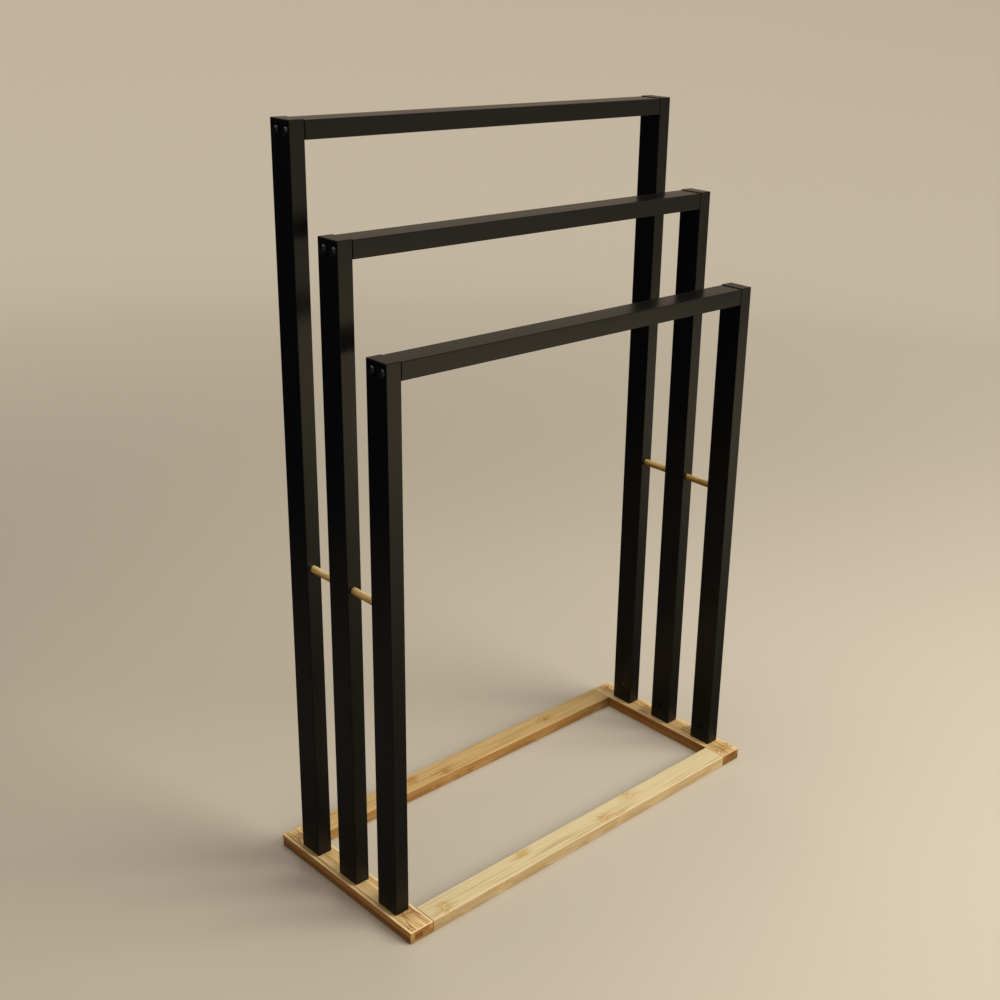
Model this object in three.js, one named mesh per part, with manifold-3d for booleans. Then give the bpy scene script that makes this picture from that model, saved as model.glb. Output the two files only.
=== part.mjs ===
// A free-standing towel rack: three black hanging frames, one behind the other, on a bamboo base.
// It is knock-down furniture, so every frame can be taken off the base and apart again.
//
// Millimetres, +Z up. The origin is the middle of the base's underside. +X runs along the
// crossbars and +Y runs from the lowest frame, at the front, to the tallest, at the back.

import * as THREE from 'three';
import { RoundedBoxGeometry } from 'three/addons/geometries/RoundedBoxGeometry.js';
import { mergeVertices } from 'three/addons/utils/BufferGeometryUtils.js';
import Module from 'manifold-3d';

// ---- Base: two end rails with two long rails butted between them ----
const BASE_WIDTH = 644;
const BASE_DEPTH = 282;
const BASE_THICKNESS = 17;
const END_RAIL_WIDTH = 36;
const LONG_RAIL_WIDTH = 36;
const BASE_EASE = 1; // radius of the eased edges

// ---- Frames: two legs with a crossbar between them ----
const FRONT_HEIGHT = 740; // top of the front legs above the floor
const TIER_STEP = 120; // rise from each frame to the one behind it
const FRAME_PITCH = 84; // from the middle of one frame to the middle of the next
const LEG_WIDTH = 20.5; // along X
const LEG_DEPTH = 37; // along Y
const LEG_INSET = 7; // from the end of the base to the leg's outer face
const LEG_EASE = 1;
const CROSSBAR_HEIGHT = 22;
const CROSSBAR_DEPTH = 37;
const CROSSBAR_DROP = 1; // the crossbar's top lies this far below the tops of its legs
const CROSSBAR_EASE = 1.2;

// ---- Spindles: dowels trapped in blind sockets between neighbouring legs ----
const SPINDLE_DIAMETER = 9.5;
const SPINDLE_CHAMFER = 0.8;
const SPINDLE_RISE = 420; // spindle axis above the top of the base
const SOCKET_DEPTH = 12;
const SOCKET_MOUTH_DEPTH = 3; // the wider mouth that leaves a dark ring round the spindle
const SOCKET_MOUTH_MARGIN = 1; // how much wider the mouth is, on the radius

// ---- Crossbar screws: two side by side through each leg into the crossbar's end ----
const SCREW_SPACING = 19;
const SCREW_HEAD_DIAMETER = 9.5;
const SCREW_HEAD_HEIGHT = 3.4;
const SCREW_HEAD_RECESS = 0.8; // from the leg's face down to the head
const SCREW_HEAD_CONE = 1.6; // height of the cone under the head
const SCREW_SHANK_DIAMETER = 5.6;
const SCREW_BITE = 30; // how far the screw reaches into the crossbar
const SCREW_POINT = 4; // length of the tapered tip
const SCREW_KEY = 4; // hex key across flats
const SCREW_KEY_DEPTH = 2.4;

// ---- Base bolts and barrel nuts: they pull each leg down on to its end rail ----
const BARREL_NUT_DIAMETER = 10;
const BARREL_NUT_RISE = 28; // nut axis above the top of the base
const BARREL_NUT_RECESS = 1.6; // from the leg's inner face to the nut's slotted end
const BARREL_NUT_BACKING = 3; // wood left between the nut's bore and the outer face
const BARREL_NUT_CHAMFER = 0.6;
const NUT_SLOT_WIDTH = 1.4;
const NUT_SLOT_DEPTH = 1.6;
const BOLT_DIAMETER = 6;
const BOLT_OVERRUN = 5; // how far the bolt passes through the nut
const BOLT_HEAD_DIAMETER = 12;
const BOLT_HEAD_HEIGHT = 3;
const BOLT_HEAD_RECESS = 2; // from the base's underside up to the head
const BOLT_HEAD_EASE = 0.6;
const BOLT_KEY = 4;
const BOLT_KEY_DEPTH = 2;

// ---- Base dowel pins: two glued into each corner of the base ----
const PIN_DIAMETER = 8;
const PIN_LENGTH = 40;
const PIN_SPACING = 18;
const PIN_CHAMFER = 1;

// ---- Fits and facets ----
const FIT = 0.3; // gap between neighbouring pieces
const HEAD_ROOM = 0.5; // round a screw or bolt head in its counterbore
const END_ROOM = 2; // left past the tip of a screw or bolt
const CUT_PAST = 5; // a cutter starts this far outside the face that it enters
const SPINDLE_SIDES = 24; // spindles and their sockets
const HARDWARE_SIDES = 16; // heads, nuts and the holes that show them
const HIDDEN_SIDES = 12; // pins and bores inside the wood
const EASE_STEPS = 1; // facets in an eased edge, each way from its middle
const MERGE_DISTANCE = 1e-4;

// ---- Places worked out from the sizes above ----
const LEG_X = BASE_WIDTH / 2 - LEG_INSET - LEG_WIDTH / 2; // middle of a leg
const LEG_FOOT = BASE_THICKNESS + FIT; // underside of a leg
const NUT_Z = BASE_THICKNESS + BARREL_NUT_RISE;
const SPINDLE_Z = BASE_THICKNESS + SPINDLE_RISE;
const SEAM_X = BASE_WIDTH / 2 - END_RAIL_WIDTH; // where a long rail meets an end rail
const LONG_RAIL_Y = BASE_DEPTH / 2 - LONG_RAIL_WIDTH / 2;
const CROSSBAR_LENGTH = 2 * (LEG_X - LEG_WIDTH / 2 - FIT);
const BOLT_TOP = NUT_Z + BARREL_NUT_DIAMETER / 2 + BOLT_OVERRUN;
const BOLT_SEAT = BOLT_HEAD_RECESS + BOLT_HEAD_HEIGHT; // where the bolt's head bears

const FRAMES = [
  { name: 'front', row: -1 },
  { name: 'middle', row: 0 },
  { name: 'back', row: 1 },
].map((frame, tier) => ({ ...frame, y: frame.row * FRAME_PITCH, top: FRONT_HEIGHT + tier * TIER_STEP }));
const SIDES = [{ name: 'left', sign: -1 }, { name: 'right', sign: 1 }];
const PAIR = [{ name: '1', sign: -1 }, { name: '2', sign: 1 }];

const wasm = await Module();
wasm.setup();

// ---- Solids ----

// A closed three.js geometry as a solid that can be joined and cut.
function solid(geometry) {
  geometry.deleteAttribute('normal');
  geometry.deleteAttribute('uv');
  const merged = mergeVertices(geometry, MERGE_DISTANCE);
  const corners = merged.index.array;
  const faces = [];
  for (let i = 0; i < corners.length; i += 3) {
    const [a, b, c] = corners.slice(i, i + 3);
    if (a !== b && b !== c && c !== a) faces.push(a, b, c);
  }
  return new wasm.Manifold(new wasm.Mesh({
    numProp: 3,
    vertProperties: new Float32Array(merged.attributes.position.array),
    triVerts: new Uint32Array(faces),
  }));
}

function cutAll(body, cutters) {
  return cutters.reduce((rest, cutter) => rest.subtract(cutter), body);
}

// A finished piece: a named mesh with its own material, in its own frame.
function piece(name, body, finish) {
  const mesh = body.getMesh();
  const geometry = new THREE.BufferGeometry();
  geometry.setAttribute('position', new THREE.BufferAttribute(mesh.vertProperties, 3));
  geometry.setIndex(new THREE.BufferAttribute(mesh.triVerts, 1));
  geometry.computeVertexNormals();
  const result = new THREE.Mesh(geometry, finish());
  result.name = name;
  return result;
}

// A block with eased edges, standing on its own origin.
function easedBlock(width, depth, height, ease) {
  return solid(new RoundedBoxGeometry(width, depth, height, EASE_STEPS, ease).translate(0, 0, height / 2));
}

// A turned shape about +Z, from the [radius, z] points of its outline.
function turned(outline, sides) {
  const points = outline.map(([radius, z]) => new THREE.Vector2(radius, z));
  return solid(new THREE.LatheGeometry(points, sides).rotateX(Math.PI / 2));
}

// A plain round bar about +Z with a chamfer at both ends.
function chamferedRod(diameter, length, chamfer, sides) {
  const radius = diameter / 2;
  return turned([
    [0, 0],
    [radius - chamfer, 0],
    [radius, chamfer],
    [radius, length - chamfer],
    [radius - chamfer, length],
    [0, length],
  ], sides);
}

// A cutter for a round hole about +Z.
function drill(diameter, from, to, sides) {
  return turned([[0, from], [diameter / 2, from], [diameter / 2, to], [0, to]], sides);
}

// A hex-key socket about +Z, sunk from z = 0 up to its depth.
function keySocket(acrossFlats, depth) {
  const radius = acrossFlats / Math.sqrt(3);
  return turned([[0, -CUT_PAST], [radius, -CUT_PAST], [radius, depth], [0, depth]], 6);
}

// Turns a shape made along +Z so that it runs along the X axis, in the direction of sign.
function alongX(body, sign) {
  return body.rotate([0, sign * 90, 0]);
}

// Turns a shape made along +Z so that it runs along the Y axis, in the direction of sign.
function alongY(body, sign) {
  return body.rotate([-sign * 90, 0, 0]);
}

// ---- Finishes ----
const finished = (color, roughness, metalness) => () => (
  new THREE.MeshStandardMaterial({ color, roughness, metalness }));
const blackLacquer = finished(0x1d1b18, 0.42, 0);
const bamboo = finished(0xd2b27a, 0.5, 0);
const blackSteel = finished(0x343436, 0.35, 1);

// ---- Legs ----

// Counterbore and clearance hole for each crossbar screw, from the leg's outer face.
function screwHolesInLeg(side, frame) {
  const outer = side.sign * LEG_WIDTH / 2;
  const z = frame.top - CROSSBAR_DROP - CROSSBAR_HEIGHT / 2 - LEG_FOOT;
  const seat = SCREW_HEAD_RECESS + SCREW_HEAD_HEIGHT;
  const counterbore = drill(SCREW_HEAD_DIAMETER + 2 * HEAD_ROOM, -CUT_PAST, seat, HARDWARE_SIDES);
  const clearance = drill(SCREW_SHANK_DIAMETER + 2 * FIT, 0, LEG_WIDTH + CUT_PAST, HIDDEN_SIDES);
  const hole = alongX(counterbore.add(clearance), -side.sign);
  return PAIR.map((half) => hole.translate([outer, half.sign * SCREW_SPACING / 2, z]));
}

// The barrel nut's blind bore from the inner face, and the bolt's bore up from the foot.
function nutAndBoltHoles(side) {
  const inner = -side.sign * LEG_WIDTH / 2;
  const z = NUT_Z - LEG_FOOT;
  const nutDepth = LEG_WIDTH - BARREL_NUT_BACKING;
  const nutBore = drill(BARREL_NUT_DIAMETER + 2 * FIT, -CUT_PAST, nutDepth, HARDWARE_SIDES);
  const boltBore = drill(BOLT_DIAMETER + 2 * FIT, -CUT_PAST, BOLT_TOP + END_ROOM - LEG_FOOT, HIDDEN_SIDES);
  return [alongX(nutBore, side.sign).translate([inner, 0, z]), boltBore];
}

// Blind sockets for the spindles, in each face that has a neighbouring frame.
function spindleSockets(frame) {
  const bore = drill(SPINDLE_DIAMETER + 2 * FIT, -CUT_PAST, SOCKET_DEPTH, SPINDLE_SIDES);
  const mouthDiameter = SPINDLE_DIAMETER + 2 * SOCKET_MOUTH_MARGIN;
  const socket = bore.add(drill(mouthDiameter, -CUT_PAST, SOCKET_MOUTH_DEPTH, SPINDLE_SIDES));
  const faces = PAIR.filter((face) => Math.abs(frame.row + face.sign) <= 1);
  return faces.map((face) => alongY(socket, -face.sign)
    .translate([0, face.sign * LEG_DEPTH / 2, SPINDLE_Z - LEG_FOOT]));
}

function leg(side, frame) {
  const block = easedBlock(LEG_WIDTH, LEG_DEPTH, frame.top - LEG_FOOT, LEG_EASE);
  const body = cutAll(block, [
    ...screwHolesInLeg(side, frame),
    ...nutAndBoltHoles(side),
    ...spindleSockets(frame),
  ]);
  const mesh = piece(`leg_${frame.name}_${side.name}`, body, blackLacquer);
  mesh.position.set(side.sign * LEG_X, 0, LEG_FOOT);
  return mesh;
}

// ---- Crossbar and its screws ----
function crossbar(frame) {
  const block = easedBlock(CROSSBAR_LENGTH, CROSSBAR_DEPTH, CROSSBAR_HEIGHT, CROSSBAR_EASE);
  const pilot = drill(SCREW_SHANK_DIAMETER + 2 * FIT, -CUT_PAST, SCREW_BITE + END_ROOM, HIDDEN_SIDES);
  const pilots = SIDES.flatMap((side) => PAIR.map((half) => alongX(pilot, -side.sign)
    .translate([side.sign * CROSSBAR_LENGTH / 2, half.sign * SCREW_SPACING / 2, CROSSBAR_HEIGHT / 2])));
  const mesh = piece(`crossbar_${frame.name}`, cutAll(block, pilots), blackLacquer);
  mesh.position.z = frame.top - CROSSBAR_DROP - CROSSBAR_HEIGHT;
  return mesh;
}

// A flat-headed connecting screw with a hex socket, its head at z = 0 and its tip at +Z.
function crossbarScrewBody() {
  const head = SCREW_HEAD_DIAMETER / 2;
  const shank = SCREW_SHANK_DIAMETER / 2;
  const length = LEG_WIDTH + FIT + SCREW_BITE - SCREW_HEAD_RECESS;
  const screw = turned([
    [0, 0],
    [head, 0],
    [head, SCREW_HEAD_HEIGHT - SCREW_HEAD_CONE],
    [shank, SCREW_HEAD_HEIGHT - FIT],
    [shank, length - SCREW_POINT],
    [shank / 2, length],
    [0, length],
  ], HARDWARE_SIDES);
  return screw.subtract(keySocket(SCREW_KEY, SCREW_KEY_DEPTH));
}

function crossbarScrews(frame) {
  const z = frame.top - CROSSBAR_DROP - CROSSBAR_HEIGHT / 2;
  const face = LEG_X + LEG_WIDTH / 2 - SCREW_HEAD_RECESS;
  return SIDES.flatMap((side) => PAIR.map((half) => {
    const name = `crossbar_screw_${frame.name}_${side.name}_${half.name}`;
    const mesh = piece(name, alongX(crossbarScrewBody(), -side.sign), blackSteel);
    mesh.position.set(side.sign * face, half.sign * SCREW_SPACING / 2, z);
    return mesh;
  }));
}

// ---- Barrel nuts and base bolts ----

// A barrel nut made along +Z from its slotted end, with the bolt's hole across it.
function barrelNutBody() {
  const length = LEG_WIDTH - BARREL_NUT_BACKING - BARREL_NUT_RECESS - FIT;
  const rod = chamferedRod(BARREL_NUT_DIAMETER, length, BARREL_NUT_CHAMFER, HARDWARE_SIDES);
  const slotLength = BARREL_NUT_DIAMETER + CUT_PAST;
  const slot = solid(new THREE.BoxGeometry(slotLength, NUT_SLOT_WIDTH, 2 * NUT_SLOT_DEPTH));
  const thread = drill(BOLT_DIAMETER + 2 * FIT, -BARREL_NUT_DIAMETER, BARREL_NUT_DIAMETER, HIDDEN_SIDES);
  const crossHole = alongX(thread, 1).translate([0, 0, LEG_WIDTH / 2 - BARREL_NUT_RECESS]);
  return cutAll(rod, [slot, crossHole]);
}

function barrelNut(side, frame) {
  const name = `barrel_nut_${frame.name}_${side.name}`;
  const mesh = piece(name, alongX(barrelNutBody(), side.sign), blackSteel);
  mesh.position.set(side.sign * (LEG_X - LEG_WIDTH / 2 + BARREL_NUT_RECESS), 0, NUT_Z);
  return mesh;
}

// A flat-headed bolt with a hex socket, standing head down on its own origin.
function baseBolt(side, frame) {
  const head = BOLT_HEAD_DIAMETER / 2;
  const shank = BOLT_DIAMETER / 2;
  const length = BOLT_TOP - BOLT_HEAD_RECESS;
  const body = turned([
    [0, 0],
    [head - BOLT_HEAD_EASE, 0],
    [head, BOLT_HEAD_EASE],
    [head, BOLT_HEAD_HEIGHT - FIT],
    [shank, BOLT_HEAD_HEIGHT - FIT],
    [shank, length],
    [0, length],
  ], HARDWARE_SIDES).subtract(keySocket(BOLT_KEY, BOLT_KEY_DEPTH));
  const mesh = piece(`base_bolt_${frame.name}_${side.name}`, body, blackSteel);
  mesh.position.set(side.sign * LEG_X, 0, BOLT_HEAD_RECESS);
  return mesh;
}

// ---- Spindles ----
function spindles() {
  const length = FRAME_PITCH - LEG_DEPTH + 2 * (SOCKET_DEPTH - FIT);
  const gaps = [{ name: 'front', row: -0.5 }, { name: 'back', row: 0.5 }];
  return gaps.flatMap((gap) => SIDES.map((side) => {
    const rod = chamferedRod(SPINDLE_DIAMETER, length, SPINDLE_CHAMFER, SPINDLE_SIDES);
    const body = alongY(rod.translate([0, 0, -length / 2]), 1);
    const mesh = piece(`spindle_${gap.name}_${side.name}`, body, bamboo);
    mesh.position.set(side.sign * LEG_X, gap.row * FRAME_PITCH, SPINDLE_Z);
    return mesh;
  }));
}

// ---- Base ----

// The blind holes for the dowel pins of one butt joint, about +X from the seam.
function pinHoles(sign, y) {
  const hole = drill(PIN_DIAMETER + 2 * FIT, -CUT_PAST, PIN_LENGTH / 2 + FIT, HIDDEN_SIDES);
  return PAIR.map((half) => alongX(hole, sign)
    .translate([0, y + half.sign * PIN_SPACING / 2, BASE_THICKNESS / 2]));
}

function endRail(side) {
  const block = easedBlock(END_RAIL_WIDTH, BASE_DEPTH, BASE_THICKNESS, BASE_EASE);
  const seam = -side.sign * END_RAIL_WIDTH / 2;
  const railToLeg = LEG_X - (BASE_WIDTH / 2 - END_RAIL_WIDTH / 2);
  const counterbore = drill(BOLT_HEAD_DIAMETER + 2 * HEAD_ROOM, -CUT_PAST, BOLT_SEAT, HARDWARE_SIDES);
  const clearance = drill(BOLT_DIAMETER + 2 * FIT, 0, BASE_THICKNESS + CUT_PAST, HIDDEN_SIDES);
  const boltHole = counterbore.add(clearance);
  const cutters = [
    ...FRAMES.map((frame) => boltHole.translate([side.sign * railToLeg, frame.y, 0])),
    ...[-LONG_RAIL_Y, LONG_RAIL_Y].flatMap((y) => pinHoles(side.sign, y))
      .map((hole) => hole.translate([seam, 0, 0])),
  ];
  const mesh = piece(`base_end_rail_${side.name}`, cutAll(block, cutters), bamboo);
  mesh.position.x = side.sign * (BASE_WIDTH / 2 - END_RAIL_WIDTH / 2);
  return mesh;
}

function longRail(row) {
  const length = 2 * (SEAM_X - FIT);
  const block = easedBlock(length, LONG_RAIL_WIDTH, BASE_THICKNESS, BASE_EASE);
  const holes = SIDES.flatMap((side) => pinHoles(-side.sign, 0)
    .map((hole) => hole.translate([side.sign * SEAM_X, 0, 0])));
  const mesh = piece(`base_long_rail_${row.name}`, cutAll(block, holes), bamboo);
  mesh.position.y = row.sign * LONG_RAIL_Y;
  return mesh;
}

function basePins(row) {
  return SIDES.flatMap((side) => PAIR.map((half) => {
    const rod = chamferedRod(PIN_DIAMETER, PIN_LENGTH, PIN_CHAMFER, HIDDEN_SIDES);
    const body = alongX(rod.translate([0, 0, -PIN_LENGTH / 2]), 1);
    const mesh = piece(`base_pin_${row.name}_${side.name}_${half.name}`, body, bamboo);
    const y = row.sign * LONG_RAIL_Y + half.sign * PIN_SPACING / 2;
    mesh.position.set(side.sign * SEAM_X, y, BASE_THICKNESS / 2);
    return mesh;
  }));
}

// ---- Assembly ----
function hangingFrame(frame) {
  const group = new THREE.Group();
  group.add(crossbar(frame), ...crossbarScrews(frame));
  SIDES.forEach((side) => group.add(leg(side, frame), barrelNut(side, frame), baseBolt(side, frame)));
  group.position.y = frame.y;
  return group;
}

function base() {
  const group = new THREE.Group();
  const rows = [{ name: 'front', sign: -1 }, { name: 'back', sign: 1 }];
  SIDES.forEach((side) => group.add(endRail(side)));
  rows.forEach((row) => group.add(longRail(row), ...basePins(row)));
  return group;
}

const rack = new THREE.Group();
rack.add(base(), ...FRAMES.map(hangingFrame), ...spindles());

export default rack;
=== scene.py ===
# %% [markdown]
# # A three-tier towel rack
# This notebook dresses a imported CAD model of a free-standing towel rack: three black hanging
# frames of rising height on a flat bamboo base. The CAD model is loaded first and never moved,
# so that every piece made here already has its place and its size.

# %% Load the fixed frame
import math

import bmesh
import bpy
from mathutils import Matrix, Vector


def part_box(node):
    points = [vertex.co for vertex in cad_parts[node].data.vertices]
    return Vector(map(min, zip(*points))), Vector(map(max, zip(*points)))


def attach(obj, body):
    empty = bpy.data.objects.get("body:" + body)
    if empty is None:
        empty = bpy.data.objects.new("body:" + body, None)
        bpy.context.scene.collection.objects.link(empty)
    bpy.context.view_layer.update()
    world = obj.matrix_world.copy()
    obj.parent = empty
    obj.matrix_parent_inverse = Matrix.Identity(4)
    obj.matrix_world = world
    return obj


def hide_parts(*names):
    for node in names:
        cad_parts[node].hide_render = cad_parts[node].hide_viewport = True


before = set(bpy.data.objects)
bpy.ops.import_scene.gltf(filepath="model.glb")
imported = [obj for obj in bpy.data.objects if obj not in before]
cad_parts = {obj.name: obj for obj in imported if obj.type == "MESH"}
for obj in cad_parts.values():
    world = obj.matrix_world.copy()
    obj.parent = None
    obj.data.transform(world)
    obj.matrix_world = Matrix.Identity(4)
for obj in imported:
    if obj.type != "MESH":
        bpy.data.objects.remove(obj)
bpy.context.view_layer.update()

# %% [markdown]
# ## The camera
# The rack is seen from its front left corner, from a little above its tallest bar, with a
# normal lens. The camera comes first because everything after it is judged through it. A small
# lens shift moves the rack within the frame without turning the camera, so the perspective stays.

# %% The camera
CAMERA_PLACE = (-1.183, -1.254, 1.151)
CAMERA_TURN = (69.36, -1.95, -45.09)  # degrees about X, Y and Z
CAMERA_LENS = 49.38  # millimetres, on a 36 mm sensor
CAMERA_SHIFT = (-0.087, -0.0194)

camera = bpy.data.objects.new("camera", bpy.data.cameras.new("camera"))
camera.location = CAMERA_PLACE
camera.rotation_euler = [math.radians(turn) for turn in CAMERA_TURN]
camera.data.lens = CAMERA_LENS
camera.data.shift_x, camera.data.shift_y = CAMERA_SHIFT
bpy.context.scene.collection.objects.link(camera)
bpy.context.scene.camera = camera
print("camera", round(Vector(CAMERA_PLACE).length, 2), "m from the middle of the base")

# %% [markdown]
# ## The studio
# A round studio sweep is a floor that curves up into a wall on every side, so there is no
# corner behind the object from any direction. It is one outline spun about the upright axis:
# flat floor, quarter-round, wall.

# %% The floor and backdrop
STUDIO_RADIUS = 4.2
STUDIO_CURVE = 1.2
STUDIO_HEIGHT = 4.0
CURVE_STEPS = 16
SWEEP_FACETS = 96


def spun(outline, steps):
    """Spins (radius, height) points about Z into one skin with outward faces."""
    bm = bmesh.new()
    verts = [bm.verts.new((radius, 0, height)) for radius, height in outline]
    edges = [bm.edges.new(pair) for pair in zip(verts, verts[1:])]
    bmesh.ops.spin(
        bm, geom=verts + edges, axis=(0, 0, 1), cent=(0, 0, 0),
        angle=math.tau, steps=steps, use_merge=True,
    )
    bmesh.ops.remove_doubles(bm, verts=bm.verts, dist=1e-6)
    bmesh.ops.recalc_face_normals(bm, faces=bm.faces)
    return bm


sweep = [(0, 0), (STUDIO_RADIUS - STUDIO_CURVE, 0)]
for step in range(1, CURVE_STEPS + 1):
    turn = math.pi / 2 * step / CURVE_STEPS
    sweep.append((
        STUDIO_RADIUS - STUDIO_CURVE + STUDIO_CURVE * math.sin(turn),
        STUDIO_CURVE - STUDIO_CURVE * math.cos(turn),
    ))
sweep.append((STUDIO_RADIUS, STUDIO_HEIGHT))
bm = spun(sweep, SWEEP_FACETS)
studio = bpy.data.objects.new("studio", bpy.data.meshes.new("studio"))
bm.to_mesh(studio.data)
bm.free()
studio.data.shade_smooth()
bpy.context.scene.collection.objects.link(studio)
print("studio sweep", len(studio.data.polygons), "faces")

# %% [markdown]
# ## Node helpers
# Materials below are long chains of small nodes, which could be wired by hand in the editor. A
# few helpers keep them readable here: add() puts in any node and feeds its inputs with numbers
# or with other nodes' outputs, calc() and times() do sums, ramp() fades from one level to
# another, blend() mixes colours, and noise() gives the unevenness that wood and metal have.

# %% Node helpers
def add(tree, kind, inputs=None, **settings):
    """Adds a node; inputs maps a socket's name or number to a value or another node's output."""
    node = tree.nodes.new(kind)
    for name, value in settings.items():
        setattr(node, name, value)
    for name, value in (inputs or {}).items():
        if isinstance(value, bpy.types.NodeSocket):
            tree.links.new(value, node.inputs[name])
        else:
            node.inputs[name].default_value = value
    return node


def calc(tree, operation, *values, clamp=False):
    """One Math node's result."""
    inputs = dict(enumerate(values))
    return add(tree, "ShaderNodeMath", inputs, operation=operation, use_clamp=clamp).outputs[0]


def times(tree, value, *others):
    """Several values multiplied together."""
    for other in others:
        value = calc(tree, "MULTIPLY", value, other)
    return value


def ramp(tree, value, start, end, low=0.0, high=1.0):
    """A smooth step: low up to start, high from end on."""
    node = add(
        tree, "ShaderNodeMapRange", {0: value, 1: start, 2: end, 3: low, 4: high},
        interpolation_type="SMOOTHSTEP",
    )
    return node.outputs[0]


def blend(tree, share, below, above, how="MIX"):
    """Mixes two colours by a share from 0 to 1."""
    node = add(
        tree, "ShaderNodeMix", {0: share, 6: below, 7: above}, data_type="RGBA", blend_type=how,
    )
    return node.outputs[2]


def stretched(tree, place, by):
    """A place multiplied axis by axis, so that a pattern read there is squeezed."""
    return add(tree, "ShaderNodeVectorMath", {0: place, 1: by}, operation="MULTIPLY").outputs[0]


def noise(tree, place, detail=2.0, roughness=0.5):
    """Noise from 0 to 1 at a place that is already scaled."""
    inputs = {"Vector": place, "Scale": 1.0, "Detail": detail, "Roughness": roughness}
    return add(tree, "ShaderNodeTexNoise", inputs).outputs[0]


def new_material(name):
    """An empty node material and its Principled shader."""
    material = bpy.data.materials.new(name)
    material.use_nodes = True
    return material, material.node_tree, material.node_tree.nodes["Principled BSDF"]


print("node helpers:", ", ".join(tool.__name__ for tool in (add, calc, times, ramp, blend, noise)))

# %% [markdown]
# ## Studio paint
# Floor and wall are a plain pale beige. A pale floor throws a lot of light back up, which would
# wash out the black frames, so the paint shows its pale colour only where it is looked at,
# straight, in a mirror or through glass, and a browner one to bounced light. A Light Path node
# tells these rays apart. The lamps reach the far floor and the sweep less than the middle, so
# these get a faint glow of their own for the same rays. Under the key lamp, where its light is
# strongest, the paint is a shade deeper instead. So the backdrop looks even from every side.

# %% The studio's own paint
STUDIO_PALE = (0.49, 0.435, 0.345, 1)
STUDIO_DEEPER = (0.33, 0.295, 0.24, 1)
STUDIO_BOUNCE = (0.34, 0.25, 0.15, 1)
SWEEP_GLOW = (0.265, 0.235, 0.185, 1)
UNDER_KEY = (1.4, -2.3)  # the spot on the floor where the key lamp is brightest


def distance_from(tree, place, spot):
    """How far a place lies from an upright line through a spot on the floor."""
    flat = stretched(tree, place, (1, 1, 0))
    measured = add(tree, "ShaderNodeVectorMath", {0: flat, 1: (*spot, 0)}, operation="DISTANCE")
    return measured.outputs["Value"]


paint, tree, shader = new_material("studio_paint")
place = add(tree, "ShaderNodeTexCoord").outputs["Object"]
height = add(tree, "ShaderNodeSeparateXYZ", {0: place}).outputs[2]
rays = add(tree, "ShaderNodeLightPath").outputs
seen = calc(tree, "MAXIMUM", rays["Is Camera Ray"], rays["Is Glossy Ray"])
seen = calc(tree, "MAXIMUM", seen, rays["Is Transmission Ray"])
away = ramp(tree, distance_from(tree, place, UNDER_KEY), 0.6, 2.3)
shown = blend(tree, away, STUDIO_DEEPER, STUDIO_PALE)
tree.links.new(blend(tree, seen, STUDIO_BOUNCE, shown), shader.inputs["Base Color"])
far = ramp(tree, distance_from(tree, place, (0, 0)), 1.0, 3.6)
low = ramp(tree, height, 1.5, 1.15)
shader.inputs["Emission Color"].default_value = SWEEP_GLOW
tree.links.new(times(tree, far, away, low, seen), shader.inputs["Emission Strength"])
shader.inputs["Roughness"].default_value = 1.0
shader.inputs["Specular IOR Level"].default_value = 0.0
studio.data.materials.append(paint)
print("studio paint", STUDIO_PALE[:3])

# %% [markdown]
# ## Soft light
# The lamps are large and few, so that the shadows stay soft. A wide key at the front right
# lights the front faces and leaves the left sides in shade, a broad ceiling panel lights the
# base and the bar tops, and a dim even sky fills the rest. Neither lamp is seen in reflections:
# what the lacquer mirrors is the next step's work.

# %% The lamps
LAMPS = {  # place, what it points at, width, height, power in watts, colour
    "key_softbox": ((1.15, -2.1, 1.65), (0, 0, 0.45), 2.1, 1.8, 92, (1, 0.97, 0.92)),
    "ceiling_panel": ((0.3, 0.1, 3.4), (0, 0, 0), 2.6, 2.6, 68, (1, 0.98, 0.95)),
}
for name, (place, target, width, height, power, colour) in LAMPS.items():
    light = bpy.data.lights.new(name, "AREA")
    light.shape, light.color = "RECTANGLE", colour
    light.size, light.size_y, light.energy = width, height, power
    lamp = bpy.data.objects.new(name, light)
    lamp.location = place
    lamp.rotation_euler = (Vector(target) - Vector(place)).to_track_quat("-Z", "Y").to_euler()
    lamp.visible_camera = lamp.visible_glossy = False
    bpy.context.scene.collection.objects.link(lamp)
    print(name, power, "W")

world = bpy.data.worlds.new("sky")
world.use_nodes = True
sky = world.node_tree.nodes["Background"].inputs
sky["Color"].default_value = (1, 0.985, 0.96, 1)
sky["Strength"].default_value = 0.25
bpy.context.scene.world = world
bpy.context.scene.view_settings.view_transform = "Standard"
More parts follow.
